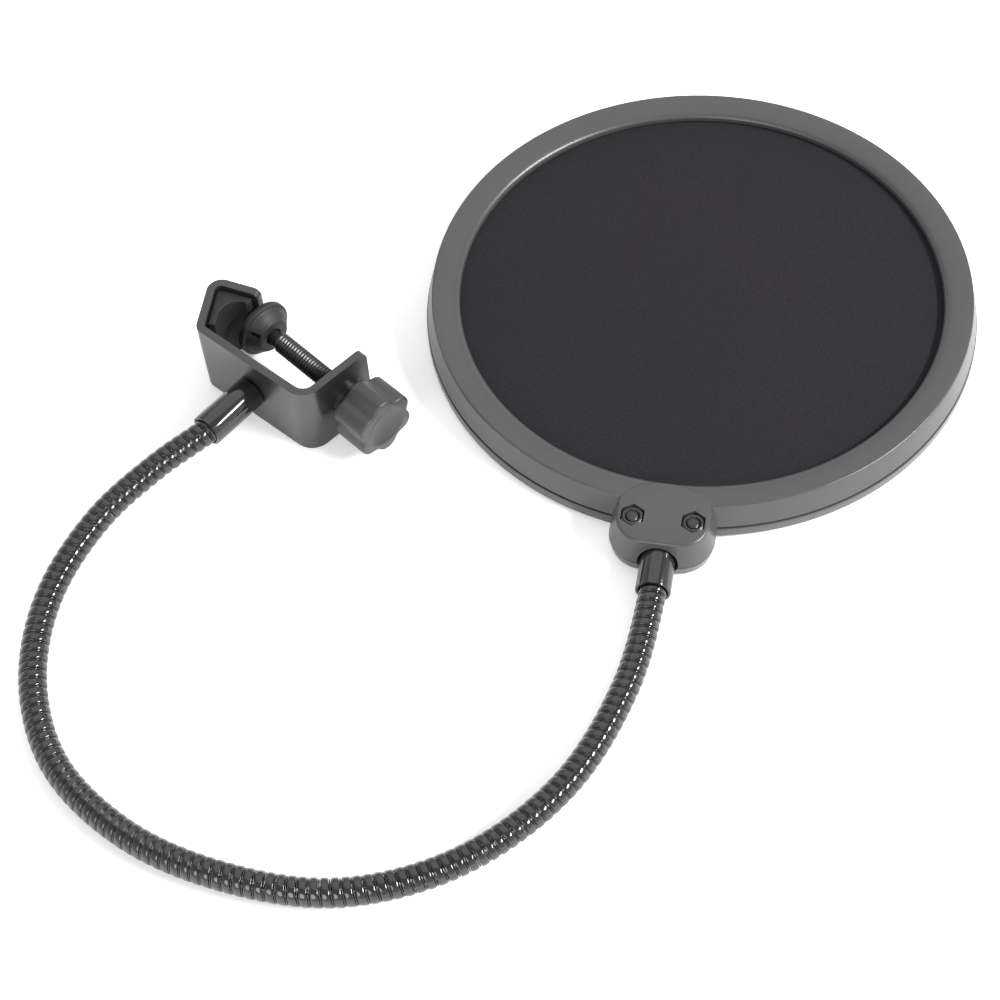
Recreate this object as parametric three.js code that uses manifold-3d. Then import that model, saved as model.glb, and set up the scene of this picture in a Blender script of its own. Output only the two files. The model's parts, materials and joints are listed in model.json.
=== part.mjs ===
// A pop filter: a double nylon screen in a plastic hoop, on a wound steel gooseneck, with a V-jaw
// screw clamp for a microphone stand. Millimetres, +Z up. The filter lies on its back, so the hoop,
// the neck and the clamp bracket rest on z = 0, and the origin is the middle of that footprint.
import * as THREE from "three";
import { mergeVertices } from "three/addons/utils/BufferGeometryUtils.js";
import Module from "manifold-3d";

const wasm = await Module();
wasm.setup();

// Clearance between pieces that touch on the real object.
const GAP = 0.3;

// Hoop. Its own frame has the tab towards -Y, and is turned to its place by HOOP_TURN.
const HOOP_PLACE = [11.955, 72.715, 0];
const HOOP_TURN = THREE.MathUtils.degToRad(30);
const HOOP_HEIGHT = 12.1;
const SEAM_Z = 4.2;
const SEAM_GAP = 0.4;
const BACK_R = 77.5;
const FRONT_FOOT_R = 77.2;
const FRONT_EDGE_R = 75.6;
const OPENING_R = 67.7;
const WALL = 1.6;
const MESH_R = 73.6;
const MESH_THICK = 0.3;
const FRONT_MESH_Z = 8.2;
const BACK_MESH_Z = 3.6;
const RING_SEGMENTS = 48;

// Tab: the block on the hoop that two M3 screws close round the neck's ferrule.
const TAB_FRONT = 88.3;
const TAB_HALF_WIDTH = 12.2;
const TAB_CORNER_R = 8.5;
const TAB_DRAFT = 1.8;
const TAB_BACK = 68;
const TAB_SCREW_X = 7.95;
const TAB_SCREW_Y = -80.3;
const NUT_ACROSS_FLATS = 5.5;
const NUT_THICK = 2.3;
const M3_R = 1.5;

// Ferrules: the sleeves on the two ends of the neck.
const FERRULE_R = 4.65;
const FERRULE_BORE_R = 3.9;
const FERRULE_EXPOSED = 10.6;
const FERRULE_LENGTH = 19.8;
const NECK_Z_AT_HOOP = 5.3;
const GROOVE_R = 3.6;
const RIB_FROM = -84.5;
const RIB_TO = -83;

// Clamp bracket: a steel strip on its edge, bent round a V-shaped hook and a screw plate. Its own
// frame has the outer corner of the back plate at the origin and the back plate along +X.
const CLAMP_PLACE = [-81.345, -32.385, 0];
const STRIP_THICK = 2.3;
const STRIP_WIDTH = 23.5;
const STRIP_MID = STRIP_WIDTH / 2;
const HOOK_TIP = [4.4, 21.3];
const HOOK_CORNER = [-10.2, 16.4];
const BACK_CORNER = [0, 0];
const BACK_PLATE_LENGTH = 40.6;
const SCREW_PLATE_LEAN = THREE.MathUtils.degToRad(5);
const SCREW_PLATE_LENGTH = 22.8;
const BEND_OUTER_R = [4, 3.5, 5.7];
const SCREW_HEIGHT = 14.8;
const FERRULE_X = 19.5;
const CLAMP_FERRULE_LENGTH = 18;

// Clamp screw, in a frame on its axis: x = 0 is the outer face of the screw plate, +x the knob.
const M6_R = 2.9;
const M6_HOLE_R = M6_R + GAP;
const FOOT_FRONT = -36.5;
const FOOT_R = 8.3;
const COLLAR_END = -30.9;
const THREAD_START = -28.1;
const KNOB_BACK = 3.9;
const KNOB_FRONT = 15;
const KNOB_MEAN_R = 8.9;
const KNOB_LOBE = 0.65;
const KNOB_LOBES = 6;

// Gooseneck: ten sections of equal length between the ferrules, hinged in the middle of each, so
// eleven links. The points are the middle of the neck from one ferrule to the other.
const NECK_R = 3.6;
const NECK_BORE_R = 1.6;
const NECK_SECTIONS = 10;
const NECK_STEPS = 3;
const NECK_POINTS = [
  [-61.845, -42.385, 11.75],
  [-61.845, -50.385, 11.75],
  [-64.545, -66.585, 11],
  [-65.545, -87.685, 9.2],
  [-59.545, -111.685, 6.8],
  [-45.245, -131.185, 5.2],
  [-23.945, -143.885, 4.4],
  [3.055, -146.285, 4.2],
  [29.355, -139.635, 4.3],
  [54.355, -125.235, 4.5],
  [71.605, -101.435, 4.75],
  [78.455, -70.585, 5],
  [73.155, -38.985, 5.2],
  [61.405, -12.935, 5.3],
  [57.205, -5.665, 5.3],
];

const STEEL = { roughness: 0.35, metalness: 1 };
const PLASTIC = { roughness: 0.5, metalness: 0 };

const object = new THREE.Group();
const hoop = new THREE.Group();
hoop.position.set(...HOOP_PLACE);
hoop.rotation.z = HOOP_TURN;
const clamp = new THREE.Group();
clamp.position.set(...CLAMP_PLACE);
const screwAxis = new THREE.Group();
screwAxis.position.set(
  BACK_PLATE_LENGTH + SCREW_HEIGHT * Math.sin(SCREW_PLATE_LEAN),
  SCREW_HEIGHT * Math.cos(SCREW_PLATE_LEAN),
  STRIP_MID,
);
screwAxis.rotation.z = -SCREW_PLATE_LEAN;
clamp.add(screwAxis);
object.add(hoop, clamp);

function addPart(group, name, geometry, colour, finish) {
  const material = new THREE.MeshStandardMaterial({ color: colour, ...finish });
  const mesh = new THREE.Mesh(geometry, material);
  mesh.name = name;
  group.add(mesh);
}

// Booleans: a closed geometry as a solid, and a solid as a geometry.
function solidOf(geometry) {
  const bare = geometry.clone();
  bare.deleteAttribute("normal");
  bare.deleteAttribute("uv");
  const merged = mergeVertices(bare, 1e-4);
  const mesh = new wasm.Mesh({
    numProp: 3,
    vertProperties: merged.attributes.position.array,
    triVerts: new Uint32Array(merged.index.array),
  });
  return new wasm.Manifold(mesh);
}

function geometryOf(solid) {
  const mesh = solid.getMesh();
  const geometry = new THREE.BufferGeometry();
  geometry.setAttribute("position", new THREE.BufferAttribute(mesh.vertProperties, 3));
  geometry.setIndex(new THREE.BufferAttribute(mesh.triVerts, 1));
  geometry.computeVertexNormals();
  return geometry;
}

function join(first, ...others) {
  return others.reduce((sum, g) => sum.add(solidOf(g)), solidOf(first));
}

function cut(solid, ...tools) {
  return tools.reduce((rest, g) => rest.subtract(solidOf(g)), solid);
}

// A profile of [radius, height] pairs spun round Z, X or Y. Its outer side runs upwards.
function spun(profile, segments, axis = "z") {
  const points = profile.map(([r, h]) => new THREE.Vector2(r, h));
  const closed = profile[0][0] > 0;
  const geometry = new THREE.LatheGeometry(closed ? [...points, points[0]] : points, segments);
  if (axis === "z") geometry.rotateX(Math.PI / 2);
  if (axis === "x") geometry.rotateZ(-Math.PI / 2);
  return geometry;
}

function rod(radius, from, to, segments, axis = "z") {
  const profile = [
    [0, from],
    [radius, from],
    [radius, to],
    [0, to],
  ];
  return spun(profile, segments, axis);
}

function box(x, y, z, sizeX, sizeY, sizeZ) {
  return new THREE.BoxGeometry(sizeX, sizeY, sizeZ).translate(x, y, z);
}

// A stack of outlines with equal point counts, each at its own height, closed into one block.
function loft(outlines, heights) {
  const count = outlines[0].length;
  const positions = [];
  outlines.forEach((outline, level) => {
    outline.forEach((p) => positions.push(p.x, p.y, heights[level]));
  });
  const index = [];
  for (let level = 0; level + 1 < outlines.length; level++) {
    for (let i = 0; i < count; i++) {
      const a = level * count + i;
      const b = level * count + ((i + 1) % count);
      index.push(a, b, b + count, a, b + count, a + count);
    }
  }
  const cap = THREE.ShapeUtils.triangulateShape(outlines[0], []);
  const top = (outlines.length - 1) * count;
  cap.forEach(([a, b, c]) => index.push(a, c, b, top + a, top + b, top + c));
  const geometry = new THREE.BufferGeometry();
  geometry.setAttribute("position", new THREE.Float32BufferAttribute(positions, 3));
  geometry.setIndex(index);
  return geometry;
}

// ---- Hoop ----

// The tab's outline at one level, spread outwards by `spread`.
function tabOutline(spread) {
  const w = TAB_HALF_WIDTH + spread;
  const front = -(TAB_FRONT + spread);
  const r = TAB_CORNER_R + spread / 2;
  const shape = new THREE.Shape();
  shape.moveTo(-w, -TAB_BACK);
  shape.absarc(-w + r, front + r, r, Math.PI, 1.5 * Math.PI, false);
  shape.absarc(w - r, front + r, r, 1.5 * Math.PI, 2 * Math.PI, false);
  shape.lineTo(w, -TAB_BACK);
  return shape.getPoints(4);
}

// What the ferrule needs in the tab: a round way in, with a rib left for its groove.
function ferruleWay() {
  const clear = FERRULE_R + GAP;
  const way = [
    [0, -96],
    [clear, -96],
    [clear, RIB_FROM],
    [GROOVE_R + GAP, RIB_FROM],
    [GROOVE_R + GAP, RIB_TO],
    [clear, RIB_TO],
    [clear, -78.8],
    [0, -78.8],
  ];
  return spun(way, 20, "y").translate(0, 0, NECK_Z_AT_HOOP);
}

function atTabScrews(make) {
  return [-1, 1].map((side) => make().translate(side * TAB_SCREW_X, TAB_SCREW_Y, 0));
}

function hexPrism(acrossFlats, from, to) {
  const corner = acrossFlats / Math.sqrt(3);
  const prism = new THREE.CylinderGeometry(corner, corner, to - from, 6);
  return prism.rotateX(Math.PI / 2).translate(0, 0, (from + to) / 2);
}

function frontRim() {
  const foot = SEAM_Z + SEAM_GAP / 2;
  const seat = FRONT_MESH_Z + MESH_THICK + GAP;
  const ring = [
    [FRONT_FOOT_R - WALL - 0.2, foot],
    [FRONT_FOOT_R, foot],
    [FRONT_EDGE_R + 0.2, HOOP_HEIGHT - 1],
    [FRONT_EDGE_R - 0.1, HOOP_HEIGHT - 0.3],
    [FRONT_EDGE_R - 0.8, HOOP_HEIGHT],
    [OPENING_R + 1.1, HOOP_HEIGHT - 0.4],
    [OPENING_R + 0.3, HOOP_HEIGHT - 0.7],
    [OPENING_R, HOOP_HEIGHT - 1.3],
    [OPENING_R, seat],
    [OPENING_R + WALL, seat],
    [OPENING_R + WALL, HOOP_HEIGHT - 2.1],
    [FRONT_EDGE_R - WALL, HOOP_HEIGHT - 1.9],
  ];
  const tab = loft([tabOutline(TAB_DRAFT), tabOutline(0)], [foot, HOOP_HEIGHT]);
  const channel = rod(FRONT_EDGE_R - 1, 0, HOOP_HEIGHT - 1.9, RING_SEGMENTS);
  const mouth = rod(OPENING_R + WALL, 0, HOOP_HEIGHT + 1, RING_SEGMENTS);
  const trimmed = cut(solidOf(tab), channel, mouth);
  const whole = solidOf(spun(ring, RING_SEGMENTS)).add(trimmed);
  const pocket = HOOP_HEIGHT - NUT_THICK - 0.4;
  const holes = atTabScrews(() => rod(M3_R + GAP, 0, HOOP_HEIGHT, 12));
  const pockets = atTabScrews(() => hexPrism(NUT_ACROSS_FLATS + 2 * GAP, pocket, HOOP_HEIGHT + 1));
  return geometryOf(cut(whole, ferruleWay(), ...holes, ...pockets));
}

function backRim() {
  const top = SEAM_Z - SEAM_GAP / 2;
  const seat = BACK_MESH_Z - GAP;
  const ring = [
    [OPENING_R + 0.4, 0],
    [BACK_R - 1.2, 0],
    [BACK_R, 1.2],
    [BACK_R, top],
    [BACK_R - WALL - 0.2, top],
    [BACK_R - WALL - 0.2, WALL + 0.2],
    [OPENING_R + WALL, WALL + 0.2],
    [OPENING_R + WALL, seat],
    [OPENING_R, seat],
    [OPENING_R, 0.4],
  ];
  const outlines = [tabOutline(-0.6), tabOutline(0.6), tabOutline(0.9)];
  const tab = loft(outlines, [0, 1.4, top]);
  const trimmed = cut(solidOf(tab), rod(BACK_R - WALL, -1, HOOP_HEIGHT, RING_SEGMENTS));
  const whole = solidOf(spun(ring, RING_SEGMENTS)).add(trimmed);
  const holes = atTabScrews(() => rod(M3_R + GAP, -1, HOOP_HEIGHT, 12));
  const heads = atTabScrews(() => rod(3.1, -1, 2.4, 16));
  return geometryOf(cut(whole, ferruleWay(), ...holes, ...heads));
}

function spacerRing() {
  const low = BACK_MESH_Z + MESH_THICK + GAP;
  const high = FRONT_MESH_Z - GAP;
  const middle = (low + high) / 2;
  const profile = [
    [OPENING_R + 0.6, low],
    [OPENING_R + 2.4, low],
    [OPENING_R + 2.4, middle - 0.6],
    [MESH_R + 0.4, middle - 0.6],
    [MESH_R + 0.4, middle + 0.6],
    [OPENING_R + 2.4, middle + 0.6],
    [OPENING_R + 2.4, high],
    [OPENING_R + 0.6, high],
  ];
  return spun(profile, RING_SEGMENTS);
}

// Two crossed slots for a driver, cut `depth` deep from `face` along the axis of a screw.
function crossSlots(axis, face, depth, span) {
  const middle = face + depth / 2;
  const width = 0.7;
  if (axis === "z") {
    return [box(0, 0, middle, span, width, depth), box(0, 0, middle, width, span, depth)];
  }
  return [box(0, middle, 0, span, depth, width), box(0, middle, 0, width, depth, span)];
}

function tabScrew() {
  const profile = [
    [0, 0.35],
    [2.2, 0.35],
    [2.75, 0.9],
    [2.75, 2.1],
    [M3_R, 2.1],
    [M3_R, 11.6],
    [1.2, 11.9],
    [0, 11.9],
  ];
  return geometryOf(cut(join(spun(profile, 16)), ...crossSlots("z", 0.1, 1.2, 3)));
}

function tabNut() {
  const shape = new THREE.Shape(
    [0, 1, 2, 3, 4, 5].map((k) => {
      const angle = Math.PI / 2 + (k * Math.PI) / 3;
      const corner = NUT_ACROSS_FLATS / Math.sqrt(3);
      return new THREE.Vector2(corner * Math.cos(angle), corner * Math.sin(angle));
    }),
  );
  shape.holes.push(new THREE.Path().absarc(0, 0, M3_R + GAP, 0, 2 * Math.PI, true));
  const options = { depth: NUT_THICK, bevelEnabled: false, curveSegments: 8 };
  const nut = new THREE.ExtrudeGeometry(shape, options);
  return nut.translate(0, 0, HOOP_HEIGHT - NUT_THICK - 0.1);
}

// The sleeve in the tab, along Y: mouth at the neck's side, groove for the tab's rib.
function hoopFerrule() {
  const mouth = -(TAB_FRONT + FERRULE_EXPOSED);
  const inner = mouth + FERRULE_LENGTH;
  const profile = [
    [0, mouth + 12],
    [FERRULE_BORE_R, mouth + 12],
    [FERRULE_BORE_R, mouth],
    [FERRULE_R - 0.2, mouth],
    [FERRULE_R, mouth + 0.4],
    [FERRULE_R, RIB_FROM - GAP],
    [GROOVE_R, RIB_FROM - GAP],
    [GROOVE_R, RIB_TO + GAP],
    [FERRULE_R, RIB_TO + GAP],
    [FERRULE_R, inner],
    [0, inner],
  ];
  return spun(profile, 16, "y").translate(0, 0, NECK_Z_AT_HOOP);
}

addPart(hoop, "front_rim", frontRim(), 0x35363a, PLASTIC);
addPart(hoop, "back_rim", backRim(), 0x35363a, PLASTIC);
addPart(hoop, "spacer_ring", spacerRing(), 0x2b2b2e, PLASTIC);
const disc = (z) => rod(MESH_R, z, z + MESH_THICK, RING_SEGMENTS);
addPart(hoop, "front_mesh", disc(FRONT_MESH_Z), 0x242226, { roughness: 0.9, metalness: 0 });
addPart(hoop, "back_mesh", disc(BACK_MESH_Z), 0x242226, { roughness: 0.9, metalness: 0 });
["left", "right"].forEach((side, i) => {
  const x = (i ? 1 : -1) * TAB_SCREW_X;
  addPart(hoop, `tab_screw_${side}`, tabScrew().translate(x, TAB_SCREW_Y, 0), 0x1f1f20, STEEL);
  addPart(hoop, `tab_nut_${side}`, tabNut().translate(x, TAB_SCREW_Y, 0), 0x1f1f20, STEEL);
});
addPart(hoop, "hoop_ferrule", hoopFerrule(), 0x1a1a1c, { roughness: 0.25, metalness: 1 });

// ---- Clamp ----

// A path moved to its left by `distance`, its ends straight across and its corners mitred.
function insetPath(points, distance) {
  const corners = points.map(([x, y]) => new THREE.Vector2(x, y));
  const steps = corners.slice(1).map((p, i) => p.clone().sub(corners[i]).normalize());
  const lefts = steps.map((d) => new THREE.Vector2(-d.y, d.x));
  return corners.map((p, i) => {
    const before = lefts[Math.max(i - 1, 0)];
    const after = lefts[Math.min(i, lefts.length - 1)];
    const mitre = before.clone().add(after).normalize();
    const moved = p.clone().addScaledVector(mitre, distance / mitre.dot(after));
    return [moved.x, moved.y];
  });
}

// Draws a path on a shape with each inner corner rounded by its radius.
function traceRounded(shape, points, radii) {
  points.forEach(([x, y], i) => {
    const radius = i > 0 && i + 1 < points.length ? radii[i - 1] : 0;
    if (!radius) {
      shape.lineTo(x, y);
      return;
    }
    const corner = new THREE.Vector2(x, y);
    const before = new THREE.Vector2(...points[i - 1]).sub(corner).normalize();
    const after = new THREE.Vector2(...points[i + 1]).sub(corner).normalize();
    const half = Math.acos(before.dot(after)) / 2;
    const middle = before.clone().add(after).normalize();
    const centre = corner.clone().addScaledVector(middle, radius / Math.sin(half));
    const run = radius / Math.tan(half);
    const start = corner.clone().addScaledVector(before, run).sub(centre);
    const end = corner.clone().addScaledVector(after, run).sub(centre);
    const clockwise = start.cross(end) < 0;
    shape.absarc(centre.x, centre.y, radius, start.angle(), end.angle(), clockwise);
  });
}

// A strip of metal or rubber that follows the path, with the path as its outer side.
function bentStrip(path, thickness, outerRadii, innerRadii, from, to) {
  const inner = insetPath(path, thickness);
  const shape = new THREE.Shape();
  shape.moveTo(...path[0]);
  traceRounded(shape, path, outerRadii);
  traceRounded(shape, inner.reverse(), [...innerRadii].reverse());
  shape.closePath();
  const options = { depth: to - from, bevelEnabled: false, curveSegments: 4 };
  return new THREE.ExtrudeGeometry(shape, options).translate(0, 0, from);
}

// What rounds a strip's free end off: the two corners outside an arc, cut through the thickness.
// `end` is the end's outer point and `angle` the way the strip runs out.
function endCorners(end, angle, radius) {
  const shape = new THREE.Shape();
  shape.moveTo(1, 1);
  shape.lineTo(1, -radius);
  shape.lineTo(0, -radius);
  shape.absarc(-radius, -radius, radius, 0, Math.PI / 2, false);
  shape.lineTo(-radius, 1);
  shape.closePath();
  const options = { depth: 4 * STRIP_THICK, bevelEnabled: false, curveSegments: 4 };
  const corner = () => new THREE.ExtrudeGeometry(shape, options).translate(0, 0, -2 * STRIP_THICK);
  const upper = corner().rotateX(Math.PI / 2).translate(0, 0, STRIP_WIDTH);
  const lower = corner().rotateX(-Math.PI / 2);
  return [upper, lower].map((g) => g.rotateZ(angle).translate(end[0], end[1], 0));
}

const SCREW_PLATE_END = [
  BACK_PLATE_LENGTH + SCREW_PLATE_LENGTH * Math.sin(SCREW_PLATE_LEAN),
  SCREW_PLATE_LENGTH * Math.cos(SCREW_PLATE_LEAN),
];

// A geometry made on the screw's axis, moved into the clamp's frame.
function onScrewAxis(geometry) {
  screwAxis.updateMatrix();
  return geometry.applyMatrix4(screwAxis.matrix);
}

function clampBracket() {
  const path = [HOOK_TIP, HOOK_CORNER, BACK_CORNER, [BACK_PLATE_LENGTH, 0], SCREW_PLATE_END];
  const inner = BEND_OUTER_R.map((r) => r - STRIP_THICK);
  const strip = bentStrip(path, STRIP_THICK, BEND_OUTER_R, inner, 0, STRIP_WIDTH);
  const burr = onScrewAxis(rod(5, -1, WALL, 20, "x"));
  const threadHole = onScrewAxis(rod(M6_HOLE_R, -10, 10, 20, "x"));
  const ferruleHole = rod(2.3, -5, 5, 16, "y").translate(FERRULE_X, 0, STRIP_MID);
  const hookRun = Math.atan2(HOOK_TIP[1] - HOOK_CORNER[1], HOOK_TIP[0] - HOOK_CORNER[0]);
  const corners = [
    ...endCorners(HOOK_TIP, hookRun, 2.5),
    ...endCorners(SCREW_PLATE_END, Math.PI / 2 - SCREW_PLATE_LEAN, 3),
  ];
  return geometryOf(cut(join(strip, burr), threadHole, ferruleHole, ...corners));
}

// The rubber liner of the V: along both legs of the hook, a clearance inside the steel.
function jawPad() {
  const path = insetPath([HOOK_TIP, HOOK_CORNER, BACK_CORNER], STRIP_THICK + GAP);
  const start = new THREE.Vector2(...path[1]).lerp(new THREE.Vector2(...path[0]), 0.86);
  const end = new THREE.Vector2(...path[1]).lerp(new THREE.Vector2(...path[2]), 0.8);
  const legs = [start.toArray(), path[1], end.toArray()];
  return bentStrip(legs, 2, [1.4], [4], 1.5, STRIP_WIDTH - 1.5);
}

// The sleeve screwed to the back plate, along Y: a blind screw hole and a bore for the neck.
function clampFerrule() {
  const profile = [
    [0, -9],
    [FERRULE_BORE_R, -9],
    [FERRULE_BORE_R, -CLAMP_FERRULE_LENGTH],
    [FERRULE_R - 0.2, -CLAMP_FERRULE_LENGTH],
    [FERRULE_R, 0.4 - CLAMP_FERRULE_LENGTH],
    [FERRULE_R, -0.8],
    [FERRULE_R - 0.5, -GAP],
    [2.3, -GAP],
    [2.3, -6.3],
    [0, -6.3],
  ];
  return spun(profile, 16, "y").translate(FERRULE_X, 0, STRIP_MID);
}

function ferruleScrew() {
  const seat = STRIP_THICK + GAP;
  const profile = [
    [0, -5.9],
    [1.6, -5.9],
    [2, -5.4],
    [2, seat],
    [3.6, seat],
    [3.6, seat + 1],
    [2.9, seat + 1.7],
    [0, seat + 1.8],
  ];
  const slots = crossSlots("y", seat + 0.7, 1.4, 3.8);
  return geometryOf(cut(join(spun(profile, 16, "y")), ...slots)).translate(FERRULE_X, 0, STRIP_MID);
}

// The M6 rod, plain where its thread runs, with a neck and a flange that hold the rubber foot.
function thumbScrew() {
  const profile = [
    [0, -35],
    [2.8, -35],
    [2.8, -33.6],
    [2.1, -33.6],
    [2.1, THREAD_START],
    [M6_R, THREAD_START + 0.7],
    [M6_R, 12],
    [0, 12],
  ];
  return spun(profile, 16, "x");
}

function pressureFoot() {
  const profile = [
    [0, FOOT_FRONT + 0.4],
    [6.5, FOOT_FRONT + 0.4],
    [7.1, FOOT_FRONT],
    [FOOT_R - 0.3, FOOT_FRONT],
    [FOOT_R, FOOT_FRONT + 0.3],
    [FOOT_R, FOOT_FRONT + 1.6],
    [FOOT_R - 0.3, FOOT_FRONT + 1.9],
    [7.4, FOOT_FRONT + 1.9],
    [6.9, -33.7],
    [5.9, -32.3],
    [5.2, -31.5],
    [4.7, COLLAR_END],
    [2.4, COLLAR_END],
    [2.4, -33.3],
    [3.1, -33.3],
    [3.1, -35.3],
    [0, -35.3],
  ];
  return spun(profile, 20, "x");
}

function knob() {
  const outline = [];
  const steps = 6 * KNOB_LOBES;
  for (let i = 0; i < steps; i++) {
    const angle = (2 * Math.PI * i) / steps;
    const r = KNOB_MEAN_R - 0.7 + KNOB_LOBE * Math.cos(KNOB_LOBES * angle);
    outline.push(new THREE.Vector2(r * Math.cos(angle), r * Math.sin(angle)));
  }
  const bevel = { bevelThickness: 0.7, bevelSize: 0.7, bevelSegments: 2 };
  const options = { depth: KNOB_FRONT - KNOB_BACK - 1.4, ...bevel };
  const body = new THREE.ExtrudeGeometry(new THREE.Shape(outline), options);
  body.rotateY(Math.PI / 2).translate(KNOB_BACK + 0.7, 0, 0);
  const hub = rod(6, KNOB_BACK - WALL, KNOB_BACK + 1, 20, "x");
  const dish = new THREE.SphereGeometry(14, 28, 20).translate(KNOB_FRONT + 12.6, 0, 0);
  const bore = rod(M6_HOLE_R, 0, 12.3, 20, "x");
  return geometryOf(cut(join(body, hub), dish, bore));
}

addPart(clamp, "clamp_bracket", clampBracket(), 0x4a4a4c, { roughness: 0.35, metalness: 0.3 });
addPart(clamp, "jaw_pad", jawPad(), 0x1c1c1c, { roughness: 0.8, metalness: 0 });
addPart(clamp, "clamp_ferrule", clampFerrule(), 0x1a1a1c, { roughness: 0.25, metalness: 1 });
addPart(clamp, "ferrule_screw", ferruleScrew(), 0x1f1f20, STEEL);
addPart(screwAxis, "thumb_screw", thumbScrew(), 0x252526, STEEL);
addPart(screwAxis, "pressure_foot", pressureFoot(), 0x2a2a2b, { roughness: 0.75, metalness: 0 });
addPart(screwAxis, "knob", knob(), 0x3a3a3d, PLASTIC);

// ---- Gooseneck ----

const neckCurve = new THREE.CatmullRomCurve3(
  NECK_POINTS.map((p) => new THREE.Vector3(...p)),
  false,
  "centripetal",
);
const neckLength = neckCurve.getLength();
const stub = new THREE.Vector3(...NECK_POINTS[0]).distanceTo(new THREE.Vector3(...NECK_POINTS[1]));
const lastStub = new THREE.Vector3(...NECK_POINTS.at(-1)).distanceTo(
  new THREE.Vector3(...NECK_POINTS.at(-2)),
);
const sectionLength = (neckLength - stub - lastStub) / NECK_SECTIONS;

// Where hinge k is along the neck, counted from 1: the middle of section k.
function hingeAt(k) {
  return stub + (k - 0.5) * sectionLength;
}

function neckPiece(from, to) {
  const points = [];
  for (let i = 0; i <= NECK_STEPS; i++) {
    points.push(neckCurve.getPointAt((from + ((to - from) * i) / NECK_STEPS) / neckLength));
  }
  return new THREE.CatmullRomCurve3(points, false, "centripetal");
}

function sweep(radius, sides, path) {
  const circle = new THREE.Shape();
  for (let i = 0; i < sides; i++) {
    const angle = (2 * Math.PI * i) / sides;
    const x = radius * Math.cos(angle);
    const y = radius * Math.sin(angle);
    if (i === 0) circle.moveTo(x, y);
    else circle.lineTo(x, y);
  }
  circle.closePath();
  return new THREE.ExtrudeGeometry(circle, { steps: NECK_STEPS, extrudePath: path });
}

// Link k: hollow, with a ball end at the hinge ahead and a round seat for the ball behind.
function neckLink(k) {
  const from = k === 0 ? 0.6 : hingeAt(k);
  const to = k === NECK_SECTIONS ? neckLength - 0.6 : hingeAt(k + 1);
  const at = (s) => neckCurve.getPointAt(s / neckLength);
  const ball = (radius, p) => new THREE.SphereGeometry(radius, 12, 6).translate(p.x, p.y, p.z);
  let link = solidOf(sweep(NECK_R, 8, neckPiece(from, to)));
  if (k < NECK_SECTIONS) link = link.add(solidOf(ball(NECK_R, at(to))));
  if (k > 0) link = link.subtract(solidOf(ball(NECK_R + GAP, at(from))));
  const past = NECK_R + 1;
  const boreFrom = Math.max(from - past, 0);
  const boreTo = Math.min(to + past, neckLength);
  const bore = sweep(NECK_BORE_R, 6, neckPiece(boreFrom, boreTo));
  return geometryOf(link.subtract(solidOf(bore)));
}

for (let k = 0; k <= NECK_SECTIONS; k++) {
  const name = `neck_link_${String(k).padStart(2, "0")}`;
  addPart(object, name, neckLink(k), 0x1d1d1f, { roughness: 0.3, metalness: 1 });
}

export default object;
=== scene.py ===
"""A pop filter: two nylon screens in a plastic hoop, on a wound gooseneck with a screw clamp.

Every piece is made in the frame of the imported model, in metres. Lists of points are in
millimetres, because that is how the pieces are drawn, and MM turns them into metres.
"""

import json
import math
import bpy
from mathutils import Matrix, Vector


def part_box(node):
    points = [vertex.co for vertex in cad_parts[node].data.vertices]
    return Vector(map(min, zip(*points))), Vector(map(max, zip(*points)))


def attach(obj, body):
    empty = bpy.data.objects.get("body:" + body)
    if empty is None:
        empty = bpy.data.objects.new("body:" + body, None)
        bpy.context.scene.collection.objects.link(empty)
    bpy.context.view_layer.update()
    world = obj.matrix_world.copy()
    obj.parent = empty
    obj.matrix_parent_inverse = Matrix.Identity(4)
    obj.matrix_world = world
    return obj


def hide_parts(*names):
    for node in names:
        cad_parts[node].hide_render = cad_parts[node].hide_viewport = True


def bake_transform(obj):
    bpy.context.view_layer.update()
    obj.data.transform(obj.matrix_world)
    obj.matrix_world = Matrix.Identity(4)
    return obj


bl_info = {
    "name": "Pop Filter",
    "version": (1, 0, 0),
    "blender": (4, 5, 0),
    "location": "View3D > Sidebar > Pop Filter",
    "description": "Models a pop filter's hoop, screens, gooseneck and stand clamp",
    "category": "Add Mesh",
}

import bmesh
import bpy
from bpy.props import FloatProperty, FloatVectorProperty, IntProperty, PointerProperty
from mathutils import Matrix, Vector

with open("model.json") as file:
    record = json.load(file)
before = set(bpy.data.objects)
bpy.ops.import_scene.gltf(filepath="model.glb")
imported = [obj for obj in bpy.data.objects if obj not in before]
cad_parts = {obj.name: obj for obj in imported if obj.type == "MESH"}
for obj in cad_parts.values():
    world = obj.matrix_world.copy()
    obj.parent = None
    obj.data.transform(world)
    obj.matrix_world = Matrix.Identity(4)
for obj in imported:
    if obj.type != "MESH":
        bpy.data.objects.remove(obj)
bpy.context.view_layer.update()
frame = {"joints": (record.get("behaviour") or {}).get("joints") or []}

MM = 0.001
JOINTS = {joint["name"]: joint for joint in frame["joints"]}

# The gooseneck's middle line from one ferrule to the other, in millimetres.
NECK_POINTS = [
    (-61.845, -42.385, 11.75),
    (-61.845, -50.385, 11.75),
    (-64.545, -66.585, 11),
    (-65.545, -87.685, 9.2),
    (-59.545, -111.685, 6.8),
    (-45.245, -131.185, 5.2),
    (-23.945, -143.885, 4.4),
    (3.055, -146.285, 4.2),
    (29.355, -139.635, 4.3),
    (54.355, -125.235, 4.5),
    (71.605, -101.435, 4.75),
    (78.455, -70.585, 5),
    (73.155, -38.985, 5.2),
    (61.405, -12.935, 5.3),
    (57.205, -5.665, 5.3),
]
NECK_SECTIONS = 10


# ---- Frames of the hoop, the clamp and the clamp's screw ----


def middle_of(node):
    low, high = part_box(node)
    return (low + high) / 2


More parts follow.
